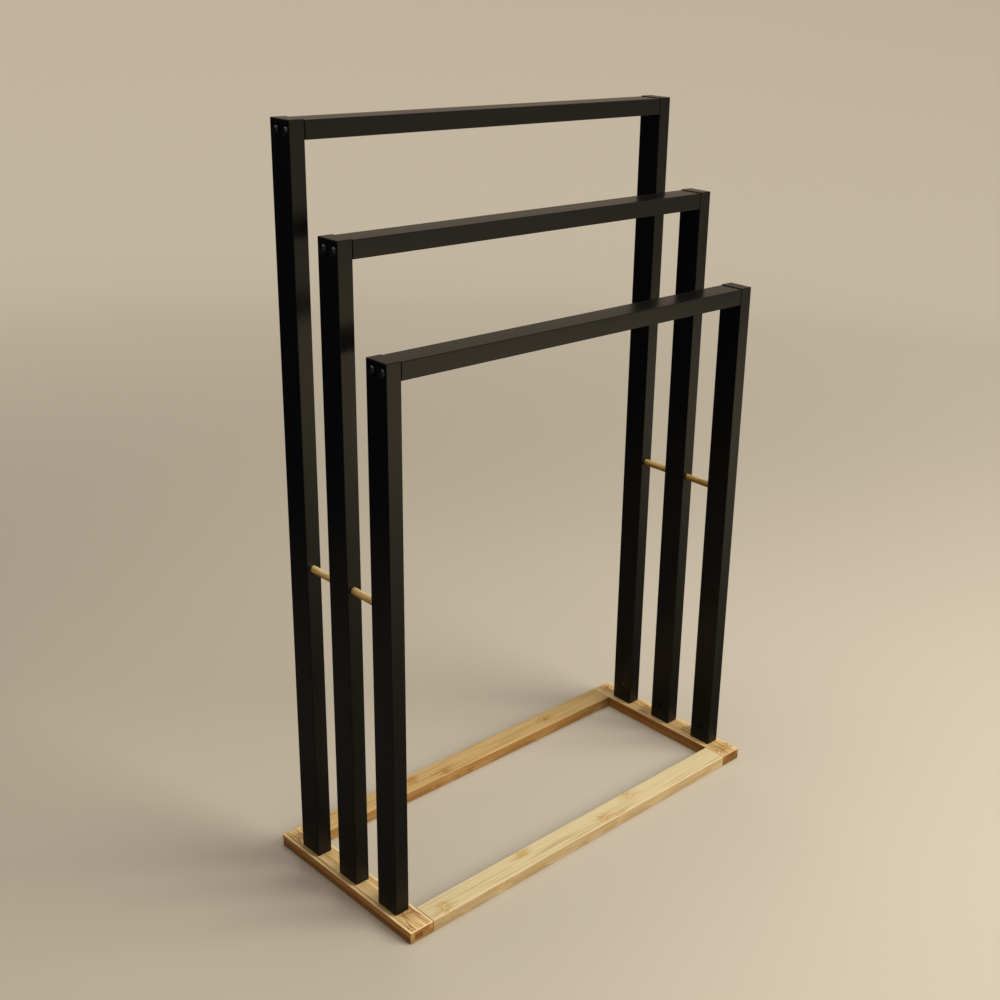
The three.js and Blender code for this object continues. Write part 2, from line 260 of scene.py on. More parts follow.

# %% [markdown]
# ## What the lacquer mirrors
# A glossy black thing is lit by what it mirrors, so that is planned apart from the lamps and
# painted. A painted dark reflection keeps the shaded sides black, a painted soft pool of light
# low at the front right gives the front faces their slow gradient, and a painted dim wall higher
# up, warmer at its foot, greys the tops of the bars. A weak painted pool under the rack lifts the
# legs' lower ends, and two more do the front pool's work for anyone walking round. Cards and
# cloths could be hung up one by one, but one skin just inside the sweep stands for all of them:
# it glows with these painted reflections though it is no lamp, and is seen in reflections only.

# %% The reflection screen
# Painted pools of light, seen in reflections only.
POOLS = {  # middle on the floor, the distances where it ends and is full, colour
    "front right": ((1.3, -1.9), 2.4, 0.0, (0.78, 0.66, 0.415, 1)),
    "under the rack": ((-0.6, -0.3), 1.7, 0.6, (0.07, 0.055, 0.03, 1)),
    "front left": ((-2.0, -2.6), 1.7, 0.0, (0.40, 0.34, 0.24, 1)),
    "back right": ((2.6, 1.4), 1.5, 0.0, (0.30, 0.25, 0.17, 1)),
}
# Painted reflections of a dim wall, warmer at its foot, and of dark cloth.
WALL_FOOT, WALL_TOP = (0.37, 0.27, 0.19, 1), (0.250, 0.205, 0.151, 1)
PAINTED_DARK_REFLECTION = (0.013, 0.0165, 0.022, 1)  # black cloth still shows a trace of blue
INSET = 0.001  # how far the screen stands inside the sweep
bm = spun([(max(radius - INSET, 0), height + INSET) for radius, height in sweep], SWEEP_FACETS)
screen = bpy.data.objects.new("reflection_screen", bpy.data.meshes.new("reflection_screen"))
bm.to_mesh(screen.data)
bm.free()
screen.data.shade_smooth()
bpy.context.scene.collection.objects.link(screen)
screen.visible_camera = screen.visible_diffuse = screen.visible_shadow = False
screen.visible_transmission = False
painted_reflections, tree, shader = new_material("painted_reflection_glow")
place = add(tree, "ShaderNodeTexCoord").outputs["Object"]
right, _, height = add(tree, "ShaderNodeSeparateXYZ", {0: place}).outputs[:3]
# The screen's glow: painted reflections of the wall and of dark cloth, with painted pools of light
# added on.
low_wall = times(tree, ramp(tree, height, 0.05, 0.35, 0.0, 0.5), ramp(tree, right, -0.3, 1.2))
wall = calc(tree, "MAXIMUM", low_wall, ramp(tree, height, 0.9, 1.25))
wall_tint = blend(tree, ramp(tree, height, 1.38, 1.56), WALL_FOOT, WALL_TOP)
light = blend(tree, wall, PAINTED_DARK_REFLECTION, wall_tint)
for spot, ends, full, tint in POOLS.values():
    pool = ramp(tree, distance_from(tree, place, spot), ends, full)
    light = blend(tree, pool, light, blend(tree, 1.0, light, tint, "ADD"))
shader.inputs["Base Color"].default_value = (0, 0, 0, 1)
shader.inputs["Specular IOR Level"].default_value = 0.0
tree.links.new(light, shader.inputs["Emission Color"])
shader.inputs["Emission Strength"].default_value = 1.0
painted_reflections.cycles.emission_sampling = "NONE"
screen.data.materials.append(painted_reflections)
print("reflection screen", len(screen.data.polygons), "faces")

# %% [markdown]
# ## Making and placing pieces
# A finished piece keeps its place in its own mesh, rides on the rack's one body and stands for
# the CAD part of the same shape. Holes could be modelled face by face, but cutting them with
# closed tools is how a workshop makes them, and it keeps each hole a few words long. Weighted
# normals keep the broad faces flat and let only the narrow eased edges turn the light, which is
# how a planed and sanded board looks.

# %% A helper that finishes a piece
SMOOTH_ANGLE = math.radians(35)


def finish_piece(name, bm, material, node, holes=()):
    """Turns a bmesh into a named piece that stands for one CAD node, with its holes cut."""
    mesh = bpy.data.meshes.new(name)
    bm.to_mesh(mesh)
    bm.free()
    piece = bpy.data.objects.new(name, mesh)
    bpy.context.scene.collection.objects.link(piece)
    if holes:
        cut_holes(piece, holes)
    piece.data.shade_smooth()
    piece.data.set_sharp_from_angle(angle=SMOOTH_ANGLE)
    piece.modifiers.new("even_faces", "WEIGHTED_NORMAL").keep_sharp = True
    piece.data.materials.clear()
    piece.data.materials.append(material)
    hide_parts(node)
    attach(piece, "root")
    return piece


def cut_holes(piece, holes):
    """Cuts each closed bmesh in holes out of the piece, and leaves plain mesh behind."""
    tools = []
    for number, hole in enumerate(holes):
        tool = bpy.data.objects.new(f"cutter_{number}", bpy.data.meshes.new("cutter"))
        hole.to_mesh(tool.data)
        hole.free()
        bpy.context.scene.collection.objects.link(tool)
        cut = piece.modifiers.new(tool.name, "BOOLEAN")
        cut.operation, cut.solver, cut.object = "DIFFERENCE", "EXACT", tool
        tools.append(tool)
    bpy.context.view_layer.update()
    done = piece.evaluated_get(bpy.context.evaluated_depsgraph_get())
    drilled = bpy.data.meshes.new_from_object(done)
    piece.modifiers.clear()
    old, piece.data = piece.data, drilled
    drilled.name = piece.name
    bpy.data.meshes.remove(old)
    for tool in tools:
        bpy.data.meshes.remove(tool.data)


def middle(node):
    """The middle of a CAD node's box."""
    low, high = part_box(node)
    return (low + high) / 2


def eased_block(node, ease):
    """A block as big as a CAD node's box, with every edge rounded over."""
    low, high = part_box(node)
    bm = bmesh.new()
    bmesh.ops.create_cube(bm, size=1)
    bmesh.ops.scale(bm, vec=high - low, verts=bm.verts)
    bmesh.ops.translate(bm, vec=(low + high) / 2, verts=bm.verts)
    bmesh.ops.bevel(
        bm, geom=bm.edges[:], affect="EDGES", offset=ease, segments=3, profile=0.5, material=-1,
    )
    return bm


def aimed(bm, direction, place):
    """Turns a shape made along +Z to run in a direction, and puts its origin at a place."""
    turn = Vector((0, 0, 1)).rotation_difference(Vector(direction)).to_matrix()
    bmesh.ops.rotate(bm, cent=(0, 0, 0), matrix=turn, verts=bm.verts)
    bmesh.ops.translate(bm, vec=place, verts=bm.verts)
    return bm


print("edges sharper than", round(math.degrees(SMOOTH_ANGLE)), "degrees stay sharp")

# %% [markdown]
# ## Black lacquer
# The frames are wood under a satin black lacquer. Real lacquer is never one flat black: the
# wood's fibres show through as very fine ridges along each member, and the sheen wanders a
# little. So the colour stays almost even, and the fibres work on roughness and on a slight bump.
# The feet are scuffed, so rougher, and their shine fades towards the floor as painted shade, so
# they barely mirror the pale base they stand on.

# %% Black lacquer
LACQUER_DEEP, LACQUER_THIN = (0.0022, 0.0022, 0.0023, 1), (0.0040, 0.0039, 0.0038, 1)
LACQUER_ROUGH = (0.17, 0.25)
SCUFF_TOP, SCUFF_FOOT, SCUFF_ROUGH = 0.40, 0.05, 0.28  # heights it fades over, roughness added
# Painted shade: the lacquer's shine fades towards the feet.
SHADE_TOP, SHADE_FOOT, SHADE_SHINE = 0.20, 0.03, 0.36  # heights it fades over, shine that is left


def lacquer(name, turn):
    """Satin black over fine grain; turn lays the pattern's X axis along the member."""
    material, tree, shader = new_material(name)
    room = add(tree, "ShaderNodeTexCoord").outputs["Object"]
    height = add(tree, "ShaderNodeSeparateXYZ", {0: room}).outputs[2]
    place = add(tree, "ShaderNodeMapping", {"Vector": room, "Rotation": turn}).outputs[0]
    ridges = noise(tree, stretched(tree, place, (9, 900, 900)), 3.0, 0.6)
    clouds = noise(tree, stretched(tree, place, (5, 60, 60)))
    mottle = times(tree, calc(tree, "ADD", ridges, clouds), 0.5)
    colour = blend(tree, ramp(tree, mottle, 0.3, 0.7), LACQUER_DEEP, LACQUER_THIN)
    tree.links.new(colour, shader.inputs["Base Color"])
    scuffed = ramp(tree, height, SCUFF_TOP, SCUFF_FOOT, 0.0, SCUFF_ROUGH)
    rough = calc(tree, "ADD", ramp(tree, mottle, 0.25, 0.75, *LACQUER_ROUGH), scuffed)
    tree.links.new(rough, shader.inputs["Roughness"])
    # Painted shade: less shine near the feet.
    shine = ramp(tree, height, SHADE_TOP, SHADE_FOOT, 0.5, SHADE_SHINE)
    tree.links.new(shine, shader.inputs["Specular IOR Level"])
    bump = add(tree, "ShaderNodeBump", {"Strength": 0.06, "Distance": 0.00006, "Height": ridges})
    tree.links.new(bump.outputs[0], shader.inputs["Normal"])
    return material


UPRIGHT = (0, math.radians(90), 0)
LEVEL = (0, 0, 0)
lacquer_legs = lacquer("black_lacquer_upright", UPRIGHT)
lacquer_bars = lacquer("black_lacquer_level", LEVEL)
print("lacquers:", lacquer_legs.name, lacquer_bars.name)

# %% [markdown]
# ## Black plated steel
# Screws, barrel nuts and bolts are turned steel under a thin black zinc plate, a little uneven
# in sheen from the plating bath and from handling. It is metal, so its dark colour is the
# colour of its reflections. The screws' heads get a paler pair of tones than the nuts and bolts,
# which lie deeper: partly the key's wear on the plate and partly a painted highlight, so that
# the heads catch glints. One function makes both, so that they stay the same plate in all but
# this paler pair.

# %% Black plated steel
def plated_steel(name, plated, wear_and_highlight):
    """Zinc-plated steel, from the plate's own tone to a second tone: wear, and on the screws' heads
    also a painted highlight.
    """
    material, tree, shader = new_material(name)
    place = add(tree, "ShaderNodeTexCoord").outputs["Object"]
    wear_and_glint = noise(tree, stretched(tree, place, (700, 700, 700)), 3.0)
    tone = blend(tree, ramp(tree, wear_and_glint, 0.35, 0.65), plated, wear_and_highlight)
    tree.links.new(tone, shader.inputs["Base Color"])
    tree.links.new(ramp(tree, wear_and_glint, 0.3, 0.7, 0.22, 0.36), shader.inputs["Roughness"])
    shader.inputs["Metallic"].default_value = 1
    return material


steel = plated_steel("black_plated_steel", (0.040, 0.040, 0.041, 1), (0.10, 0.10, 0.105, 1))
# The screws' paler pair is partly wear and partly a painted highlight, so that the heads glint.
screw_steel = plated_steel("screw_head_steel", (0.14, 0.15, 0.17, 1), (0.62, 0.64, 0.68, 1))
print("steels:", steel.name, screw_steel.name)

# %% [markdown]
# ## Laminated bamboo
# The base is glued up from split bamboo staves. Each stave keeps the plant's long straight
# fibres and, here and there, a knuckle where a leaf grew. Sawn across, the same staves show
# glued blocks of speckled end grain. All of it follows from the place inside the wood. So the
# pattern is read along, across and up each rail from its middle, and one material gives the
# tops, the sides and the ends together.

# %% Where a point lies inside a rail
def inside_rail(tree, node, turned):
    """The place along, across and up a rail from its middle, and the rail's half sizes."""
    low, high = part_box(node)
    half, centre = (high - low) / 2, (low + high) / 2
    if turned:
        half.x, half.y = half.y, half.x
    inputs = {0: add(tree, "ShaderNodeTexCoord").outputs["Object"], 1: centre}
    offset = add(tree, "ShaderNodeVectorMath", inputs, operation="SUBTRACT").outputs[0]
    turn = (0, 0, math.radians(-90 if turned else 0))
    return add(tree, "ShaderNodeMapping", {"Vector": offset, "Rotation": turn}).outputs[0], half


def nearness(tree, coordinate, spot, reach, core=0.3):
    """1 close to a spot on one axis, falling softly to 0 at the reach to either side."""
    away = calc(tree, "ABSOLUTE", calc(tree, "SUBTRACT", coordinate, spot))
    return ramp(tree, away, reach, reach * core)


print("coordinates of a rail: along, across and up from its middle")

# %% [markdown]
# ### Knuckles
# At a knuckle the fibres crowd together and cross in a ragged brown band, and dark streaks run
# out of it along the stave. It could be painted by hand, but then every rail would need its own
# picture. Three patterns draw it anywhere instead. The grain's sideways coordinate is squeezed
# towards the knuckle, thin noise streaks darken near it, and a patch of short crushed scales,
# dark and pale by turns, lies in its middle.

# %% Knuckles
FAN = 0.028  # how far a knuckle's streaks run along the stave
BAND = 0.011  # half the length of its ragged patch
RAGGED = 0.008  # how far the patch's outline strays
CROWDING = 0.45  # how strongly the fibres are drawn together


def squeeze(tree, along, across, knuckles):
    """The place across the rail, with the fibres crowded round each knuckle."""
    sway = across
    for spot, lane, reach in knuckles:
        ahead, beside = nearness(tree, along, spot, FAN, 0.1), nearness(tree, across, lane, reach)
        offset = calc(tree, "SUBTRACT", across, lane)
        sway = calc(tree, "ADD", sway, times(tree, offset, ahead, beside, CROWDING))
    return sway


def knuckle_marks(tree, place, grain, knuckles):
    """How dark and how pale the knuckles' marks are at a place."""
    axes = add(tree, "ShaderNodeSeparateXYZ", {0: place}).outputs
    stray = calc(tree, "SUBTRACT", noise(tree, stretched(tree, place, (60, 500, 500))), 0.5)
    along = calc(tree, "ADD", axes[0], times(tree, stray, RAGGED))
    streaks = ramp(tree, noise(tree, stretched(tree, grain, (36, 640, 640)), 1.0), 0.49, 0.58)
    scales = ramp(tree, noise(tree, stretched(tree, grain, (300, 560, 560)), 0.0), 0.46, 0.56)
    crushed = calc(tree, "ADD", times(tree, scales, 0.85), 0.12)
    between = calc(tree, "SUBTRACT", 1.0, scales)
    dark = pale = 0.0
    for spot, lane, reach in knuckles:
        beside = nearness(tree, axes[1], lane, reach, 0.5)
        fan = times(tree, nearness(tree, along, spot, FAN, 0.1), streaks, 0.8)
        band = nearness(tree, along, spot, BAND, 0.3)
        mark = calc(tree, "MAXIMUM", fan, times(tree, band, crushed))
        dark = calc(tree, "MAXIMUM", dark, times(tree, mark, beside))
        pale = calc(tree, "MAXIMUM", pale, times(tree, band, between, beside))
    return dark, pale


print("a knuckle's patch is", 2 * BAND, "m long")

# %% [markdown]
# ### Staves and glue lines
# A cane's wall is thin, so it is split into staves that are glued side by side and in layers.
# The rail could be built stave by stave, but its outside would still be one planed face. So the
# wood is counted off in cells, one for each stave, and white noise gives every cell a lot
# number and with it a tone. A dark glue line runs where two cells meet, fainter or stronger
# from stave to stave. The staves bow a little, as split wood does.

# %% Staves and glue lines
BOW = 0.0022  # how far a stave strays from straight


def counted(tree, rows, layers, batch):
    """The cell that a place falls in; batch keeps two countings apart."""
    numbers = {0: calc(tree, "FLOOR", rows), 1: calc(tree, "FLOOR", layers), 2: batch}
    return add(tree, "ShaderNodeCombineXYZ", numbers).outputs[0]


def lot_number(tree, cell):
    """A number from 0 to 1 that is the same all over one cell."""
    return add(tree, "ShaderNodeTexWhiteNoise", {"Vector": cell}, noise_dimensions="3D").outputs[0]


def split_into_staves(tree, place, knuckles, stave, layer):
    """The place in the grain's own coordinates, the rows of staves and the stave's cell."""
    along, across, up = add(tree, "ShaderNodeSeparateXYZ", {0: place}).outputs[:3]
    drift = calc(tree, "SUBTRACT", noise(tree, stretched(tree, place, (9, 40, 40))), 0.5)
    sway = calc(tree, "ADD", squeeze(tree, along, across, knuckles), times(tree, drift, BOW))
    grain = add(tree, "ShaderNodeCombineXYZ", {0: along, 1: sway, 2: up}).outputs[0]
    rows = calc(tree, "DIVIDE", sway, stave)
    return grain, rows, counted(tree, rows, calc(tree, "DIVIDE", up, layer), 0.37)


def glue_lines(tree, rows, lot, stave, glue):
    """How dark the glue between two staves is; glue is its half width and its strength."""
    width, strength = glue
    edge = calc(tree, "ABSOLUTE", calc(tree, "SUBTRACT", calc(tree, "FRACT", rows), 0.5))
    seam = times(tree, ramp(tree, edge, 0.5 - width / stave, 0.5), strength)
    uneven = calc(tree, "ADD", times(tree, lot, 0.8), 0.5)
    return calc(tree, "MULTIPLY", seam, uneven, clamp=True)


print("a stave bows by up to", BOW / 2, "m to either side")

# %% [markdown]
# ### Fibres
# The fibres run straight from knuckle to knuckle. Noise drawn out along the grain gives broad
# and fine streaks, and the darkest fibres show as thin lines. Every stave's noise starts at a
# place of its own, so that no streak runs on across a seam, as none does in glued wood.

# %% Fibres
def fibres(tree, grain, cell, by, detail=2.0):
    """Noise drawn out along the grain, which starts afresh in every stave."""
    inputs = {0: stretched(tree, grain, by), 1: cell}
    afresh = add(tree, "ShaderNodeVectorMath", inputs, operation="ADD").outputs[0]
    return noise(tree, afresh, detail, 0.55)


def dark_lines(tree, grain, cell, across, lined):
    """The darkest fibres; lined is the side that has most of them, or 0, and their strength."""
    side, strength = lined
    lines = ramp(tree, fibres(tree, grain, cell, (10, 400, 400), 1.0), 0.52, 0.64)
    where = ramp(tree, across, 0.004 * side, -0.002 * side, 1.0, 0.25) if side else 1.0
    return times(tree, lines, where, strength)


print("fibres start afresh in every stave")

# %% [markdown]
# ### Flanks, sawn ends and painted edge highlights
# Where a point lies close under one of the rail's faces decides which pair of colours it gets.
# A stave's sawn end is darker than its face, and its flank gets a darker, browner pair that is
# partly the wood's own colour and partly painted shade. A flank shows two plies, of which the
# lower may be darker. A sawn end shows the staves as blocks of speckled end grain.
# The eased top edges and the corners get a painted highlight, paler than the wood. Separate
# materials could be laid on each face, but with one material the colours meet inside the eased
# edge, as in real wood.

# %% Flanks, sawn ends and painted edge highlights
SKIN = 0.0011  # how deep the colour of a face reaches
END_BLOCK = 0.012  # width of a block on a sawn end
DARK_BLOCK = (0.17, 0.06, 0.015, 1)


def skin(tree, coordinate, half_size, reach=SKIN):
    """1 close under the two faces that lie half_size to either side, 0 deeper in."""
    outward = calc(tree, "ABSOLUTE", coordinate)
    return ramp(tree, outward, half_size - reach, half_size - 0.36 * reach)


def flank_colour(tree, up, share, sides, lower_ply):
    """The flank's two plies, in a darker pair that is partly painted shade; lower_ply is how bright
    the lower one is beside the upper.
    """
    upper = blend(tree, share, *sides)
    lower = blend(tree, 1.0, upper, (lower_ply, lower_ply, lower_ply, 1), "MULTIPLY")
    return blend(tree, ramp(tree, up, -0.0008, 0.0008), lower, upper)


def end_colour(tree, place, layer, ends, block):
    """Speckled blocks of end grain; block is the middle and reach of a darker one, or None."""
    _, across, up = add(tree, "ShaderNodeSeparateXYZ", {0: place}).outputs[:3]
    rows, layers = calc(tree, "DIVIDE", across, END_BLOCK), calc(tree, "DIVIDE", up, layer)
    tint = lot_number(tree, counted(tree, rows, layers, 0.61))
    speckle = noise(tree, stretched(tree, place, (90, 1300, 1300)))
    sawn = calc(tree, "ADD", times(tree, tint, 0.5), times(tree, speckle, 0.6))
    colour = blend(tree, ramp(tree, sawn, 0.25, 0.75), *ends)
    if block:
        lane, lane_reach, level, level_reach = block
        beside = nearness(tree, across, lane, lane_reach, 0.9)
        inset = times(tree, beside, nearness(tree, up, level, level_reach, 0.85), 0.8)
        colour = blend(tree, inset, colour, DARK_BLOCK)
    return colour


def painted_edge_highlights(tree, up, half, near_side, on_side, on_end):
    """Where the painted highlight goes: 1 on the eased top edges, and less on the upright corners.
    """
    near_top = ramp(tree, up, half.z - SKIN, half.z - 0.0004)
    rims = times(tree, calc(tree, "MAXIMUM", near_side, on_end), near_top)
    return calc(tree, "MAXIMUM", rims, times(tree, on_end, on_side, 0.4))


print("a face's colour reaches", SKIN, "m deep")

# %% [markdown]
# ### The bamboo itself
# All of this comes together in one material for each rail. The colours are laid on in this
# order: the stave's own tone, its lines and glue, the knuckles, the saw cut and, last, a painted
# highlight on the eased edges. Marks are fainter on a flank, where the fibres are cut at a
# slant. Seams and knuckles are also a trace lower than the wood beside them.

# %% The bamboo itself
LINE_TINT = (0.52, 0.39, 0.23, 1)  # what a dark line leaves of the wood's colour
# The painted highlight on the eased edges is this much paler than the light tone.
HIGHLIGHT_LIFT = (1.12, 1.12, 1.25, 1)  # how much paler than its light tone rubbed wood is


def bamboo(
    name, node, turned, stave, layer, tones, sides, ends, knuckles, glue, lined, split,
    burnt, lower_ply=1.0, wear_and_highlight=0.35, highlight_reach=SKIN, block=None,
):
    """Staves glued side by side; tones, sides and ends are a light and a dark colour each."""
    material, tree, shader = new_material(name)
    place, half = inside_rail(tree, node, turned)
    along, across, up = add(tree, "ShaderNodeSeparateXYZ", {0: place}).outputs[:3]
    grain, rows, cell = split_into_staves(tree, place, knuckles, stave, layer)
    lot = lot_number(tree, cell)

    split_height, split_strength = split
    split_line = times(tree, nearness(tree, up, split_height, 0.0010), split_strength)
    seams = calc(tree, "MAXIMUM", glue_lines(tree, rows, lot, stave, glue), split_line)
    inked = calc(tree, "MAXIMUM", seams, dark_lines(tree, grain, cell, across, lined))
    dark, pale = knuckle_marks(tree, place, grain, knuckles)
    broad = fibres(tree, grain, cell, (5, 210, 210))
    fine = fibres(tree, grain, cell, (14, 1000, 1000))
    streaks = calc(tree, "ADD", times(tree, broad, 0.6), times(tree, fine, 0.4))
    share = calc(tree, "ADD", times(tree, lot, 0.40), times(tree, streaks, 0.80))
    share = ramp(tree, share, 0.32, 0.85)

    on_end, on_side = skin(tree, along, half.x), skin(tree, across, half.y)
    # The flank's darker, browner pair is partly painted shade.
    flank = flank_colour(tree, up, share, sides, lower_ply)
    wood = blend(tree, on_side, blend(tree, share, *tones), flank)
    colour = blend(tree, inked, wood, blend(tree, 1.0, wood, LINE_TINT, "MULTIPLY"))
    colour = blend(tree, times(tree, pale, 0.5), colour, tones[0])
    faint = calc(tree, "SUBTRACT", 1.0, times(tree, on_side, 0.6))
    burnt_wood = blend(tree, 1.0, wood, burnt, "MULTIPLY")
    colour = blend(tree, times(tree, dark, faint), colour, burnt_wood)
    colour = blend(tree, on_end, colour, end_colour(tree, place, layer, ends, block))
    # Painted highlight on the eased top edges and corners, paler than the wood's light tone.
    near_side = skin(tree, across, half.y, highlight_reach)
    edge_highlight_share = times(tree, painted_edge_highlights(tree, up, half, near_side, on_side, on_end), wear_and_highlight)
    bright = [tone * lift for tone, lift in zip(tones[0], HIGHLIGHT_LIFT)]
    tree.links.new(blend(tree, edge_highlight_share, colour, bright), shader.inputs["Base Color"])

    tree.links.new(ramp(tree, streaks, 0.3, 0.7, 0.40, 0.55), shader.inputs["Roughness"])
    shader.inputs["Specular IOR Level"].default_value = 0.4
    sunk = times(tree, calc(tree, "MAXIMUM", dark, inked), 0.6)
    relief = {"Strength": 0.3, "Distance": 0.00015, "Height": calc(tree, "SUBTRACT", streaks, sunk)}
    tree.links.new(add(tree, "ShaderNodeBump", relief).outputs[0], shader.inputs["Normal"])
    return material


# The wear in this list is the painted highlight on the eased edges.
print("bamboo: tone, lines, knuckles, saw cut and wear, in this order")

# %% [markdown]
# ### The woods of the four rails
# No two rails are cut from the same cane. The front one is palest and has broad staves, the
# back one is browner, and the end rails show narrower staves, with the strongest painted edge
# highlight on the left one.
# Each rail's list gives the width of its staves and layers, its colours, what a knuckle's burn
# leaves of them, and where its knuckles sit: how far along and across from the rail's middle,
# and how wide they are. A list can borrow from another one and say only what differs.

# %% The woods of the four rails
FRONT_RAIL = dict(
    turned=False, stave=0.018, layer=0.0085,
    glue=(0.0008, 0.35), lined=(-1, 0.50), split=(0.0, 0.2),
    tones=((0.75, 0.63, 0.39, 1), (0.61, 0.49, 0.26, 1)), burnt=(0.74, 0.54, 0.27, 1),
    sides=((0.62, 0.485, 0.265, 1), (0.58, 0.435, 0.215, 1)),
    ends=((0.45, 0.25, 0.10, 1), (0.30, 0.15, 0.05, 1)),
    knuckles=(
        (-0.258, -0.006, 0.013), (-0.112, 0.010, 0.009), (0.033, -0.006, 0.013),
        (0.100, 0.010, 0.009), (0.056, -0.0185, 0.006), (-0.170, -0.0195, 0.003),
    ),
)
bamboo_front = bamboo("bamboo_front_rail", "base_long_rail_front", **FRONT_RAIL)
BACK_RAIL = dict(
    FRONT_RAIL, lined=(0, 0.45), burnt=(0.62, 0.44, 0.23, 1),
    tones=((0.69, 0.49, 0.235, 1), (0.46, 0.30, 0.11, 1)),
    sides=((0.50, 0.295, 0.10, 1), (0.39, 0.205, 0.058, 1)),
    knuckles=((0.157, 0.002, 0.010), (-0.110, 0.004, 0.012), (-0.058, -0.010, 0.011)),
)
bamboo_back = bamboo("bamboo_back_rail", "base_long_rail_back", **BACK_RAIL)
LEFT_RAIL = dict(
    turned=True, stave=0.0040, layer=0.0085,
    glue=(0.0010, 0.85), lined=(0, 0.50), split=(0.0, 0.5),
    tones=((0.82, 0.62, 0.31, 1), (0.60, 0.40, 0.165, 1)), burnt=(0.42, 0.29, 0.16, 1),
    sides=((0.86, 0.50, 0.17, 1), (0.62, 0.33, 0.10, 1)), lower_ply=0.64,
    # This rail's painted edge highlight is the strongest and widest.
    wear_and_highlight=1.0, highlight_reach=0.0036,
    ends=((0.50, 0.30, 0.105, 1), (0.32, 0.16, 0.05, 1)),
    knuckles=((-0.105, -0.004, 0.016), (-0.130, 0.012, 0.006), (0.122, 0.0, 0.018)),
    block=(0.0049, 0.0066, -0.0005, 0.0042),
)
bamboo_left = bamboo("bamboo_left_rail", "base_end_rail_left", **LEFT_RAIL)
RIGHT_RAIL = dict(
    LEFT_RAIL, stave=0.012, glue=(0.0005, 0.3), lined=(0, 0.5), split=(0.0, 0.3), block=None,
    tones=((0.76, 0.54, 0.26, 1), (0.55, 0.36, 0.14, 1)),
    sides=((0.64, 0.34, 0.10, 1), (0.44, 0.20, 0.045, 1)), lower_ply=1.0,
    # A weaker, narrower painted edge highlight on this rail.
    wear_and_highlight=0.6, highlight_reach=0.0016,
    ends=((0.32, 0.165, 0.045, 1), (0.19, 0.09, 0.02, 1)),
    knuckles=(
        (-0.124, -0.002, 0.022), (0.037, 0.002, 0.016),
        (-0.048, -0.002, 0.014), (0.130, 0.0, 0.012),
    ),
)
bamboo_right = bamboo("bamboo_right_rail", "base_end_rail_right", **RIGHT_RAIL)
print("bamboo rails:", bamboo_front.name, bamboo_back.name, bamboo_left.name, bamboo_right.name)

# %% [markdown]
# ## Dowel wood
# The spindles are round bamboo dowels with a clear satin finish and straight grain. Each rod's
# upper half is painted pale and yellow and its lower half browner: painted light and painted
# shade, as the light falls from above. No two rods are alike: on the rods on the right the border
# between the two lies a little higher, and those rods are also darker and browner; the front
# ones are a little darker than the back ones. The rods are told apart by where they are, so one
# material does for all of them. The pins hidden in the base's corners are cut from the same rods
# and take it too.

# %% Dowel wood
# Painted light on each rod's upper half, painted shade on its lower half.
PAINTED_LIT_TOP = (0.66, 0.44, 0.15, 1), (0.95, 0.74, 0.37, 1)
PAINTED_SHADED_UNDERSIDE = (0.29, 0.155, 0.034, 1), (0.52, 0.32, 0.105, 1)
ROLL = 0.0013  # how far the border between the two sides is shifted, up or down
# Tones of the rods by where they stand: darker and browner on the right, a little darker at the
# front.
LEFT_ROD_TONE, RIGHT_ROD_TONE = (1.04, 1.05, 1.04, 1), (0.84, 0.78, 0.66, 1)
FRONT_ROD_TONE, BACK_ROD_TONE = (0.94, 0.92, 0.87, 1), (1.04, 1.04, 1.02, 1)

dowel, tree, shader = new_material("bamboo_dowel")
place = add(tree, "ShaderNodeTexCoord").outputs["Object"]
right, back, height = add(tree, "ShaderNodeSeparateXYZ", {0: place}).outputs[:3]
lines = noise(tree, stretched(tree, place, (900, 30, 900)), 3.0, 0.6)
grain = ramp(tree, lines, 0.38, 0.62)
level = middle("spindle_front_left").z
# The border between painted light and painted shade lies a little higher on the right.
rolled = calc(tree, "ADD", height, ramp(tree, right, -0.1, 0.1, ROLL, -ROLL))
upper = ramp(tree, rolled, level - 0.0035, level + 0.0030)
colour = blend(tree, upper, blend(tree, grain, *PAINTED_SHADED_UNDERSIDE), blend(tree, grain, *PAINTED_LIT_TOP))
by_side = blend(tree, ramp(tree, right, -0.1, 0.1), LEFT_ROD_TONE, RIGHT_ROD_TONE)
by_row = blend(tree, ramp(tree, back, -0.02, 0.02), FRONT_ROD_TONE, BACK_ROD_TONE)
colour = blend(tree, 1.0, colour, by_side, "MULTIPLY")
colour = blend(tree, 1.0, colour, by_row, "MULTIPLY")
tree.links.new(colour, shader.inputs["Base Color"])
tree.links.new(ramp(tree, lines, 0.3, 0.7, 0.38, 0.5), shader.inputs["Roughness"])
bump = add(tree, "ShaderNodeBump", {"Strength": 0.25, "Distance": 0.0001, "Height": lines})
tree.links.new(bump.outputs[0], shader.inputs["Normal"])

pins = [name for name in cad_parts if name.startswith("base_pin_")]
for name in pins:
    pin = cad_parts[name]
    pin.data.materials.clear()
    pin.data.materials.append(dowel)
print("dowel wood on", len(pins), "hidden pins")

# %% [markdown]
# ## Holes in the legs
# A leg's outer face has two counterbored holes for the crossbar's screws, its inner face the
# hole of the barrel nut, its foot the hole of the bolt, and its front or back face the sockets
# of the spindles. In the workshop each is made by a stepped drill. Here the drill's outline is
# spun into a closed tool and cut away, so all the steps of a hole stay round one axis.

